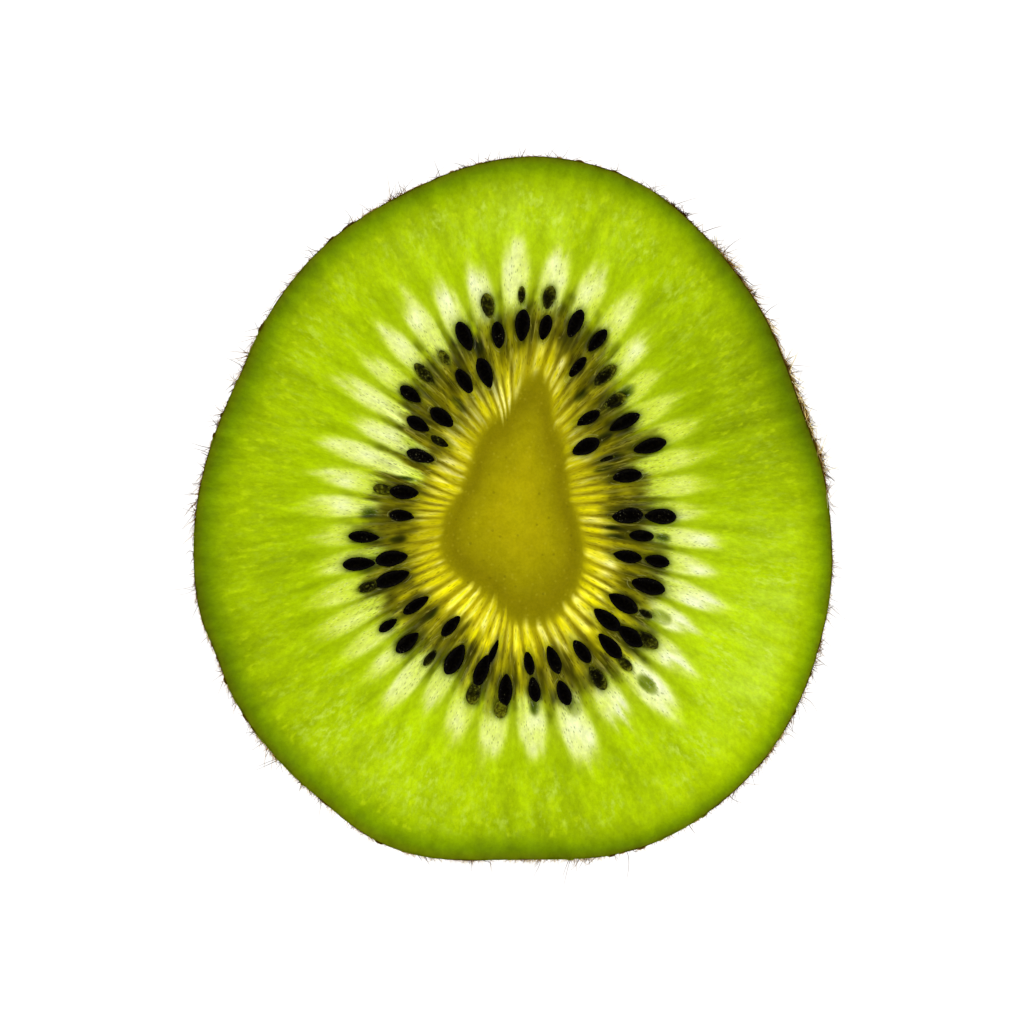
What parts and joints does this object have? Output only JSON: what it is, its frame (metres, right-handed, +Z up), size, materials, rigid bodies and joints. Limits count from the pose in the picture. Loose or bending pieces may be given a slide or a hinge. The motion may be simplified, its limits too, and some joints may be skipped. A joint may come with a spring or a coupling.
{
  "type": "kiwi slice",
  "caption": "Round cross-cut slice of green kiwi fruit with a thin fuzzy skin edge, lying flat on its cut face.",
  "frame": {"origin": "middle of the slice's box, seen from above, on the underside", "axes": "+Z up out of the cut face, +Y along the slice's longer width towards the core's tip, +X to the right"},
  "size_m": [0.051, 0.0556, 0.0052],
  "materials": {
    "outer_flesh": "wet cut fruit flesh, yellow-green, darker under the skin",
    "locule_ring": "wet translucent flesh, pale locules between green walls, yellow strips beside the core",
    "core": "moist fine-grained flesh, olive yellow",
    "skin": "thin matt brown fruit skin",
    "fuzz": "fine brown hairs",
    "seed": "wet glossy black seed coat"
  },
  "bodies": {
    "root": {"outer_flesh": "outer_flesh", "locule_ring": "locule_ring", "core": "core"}
  },
  "joints": []
}
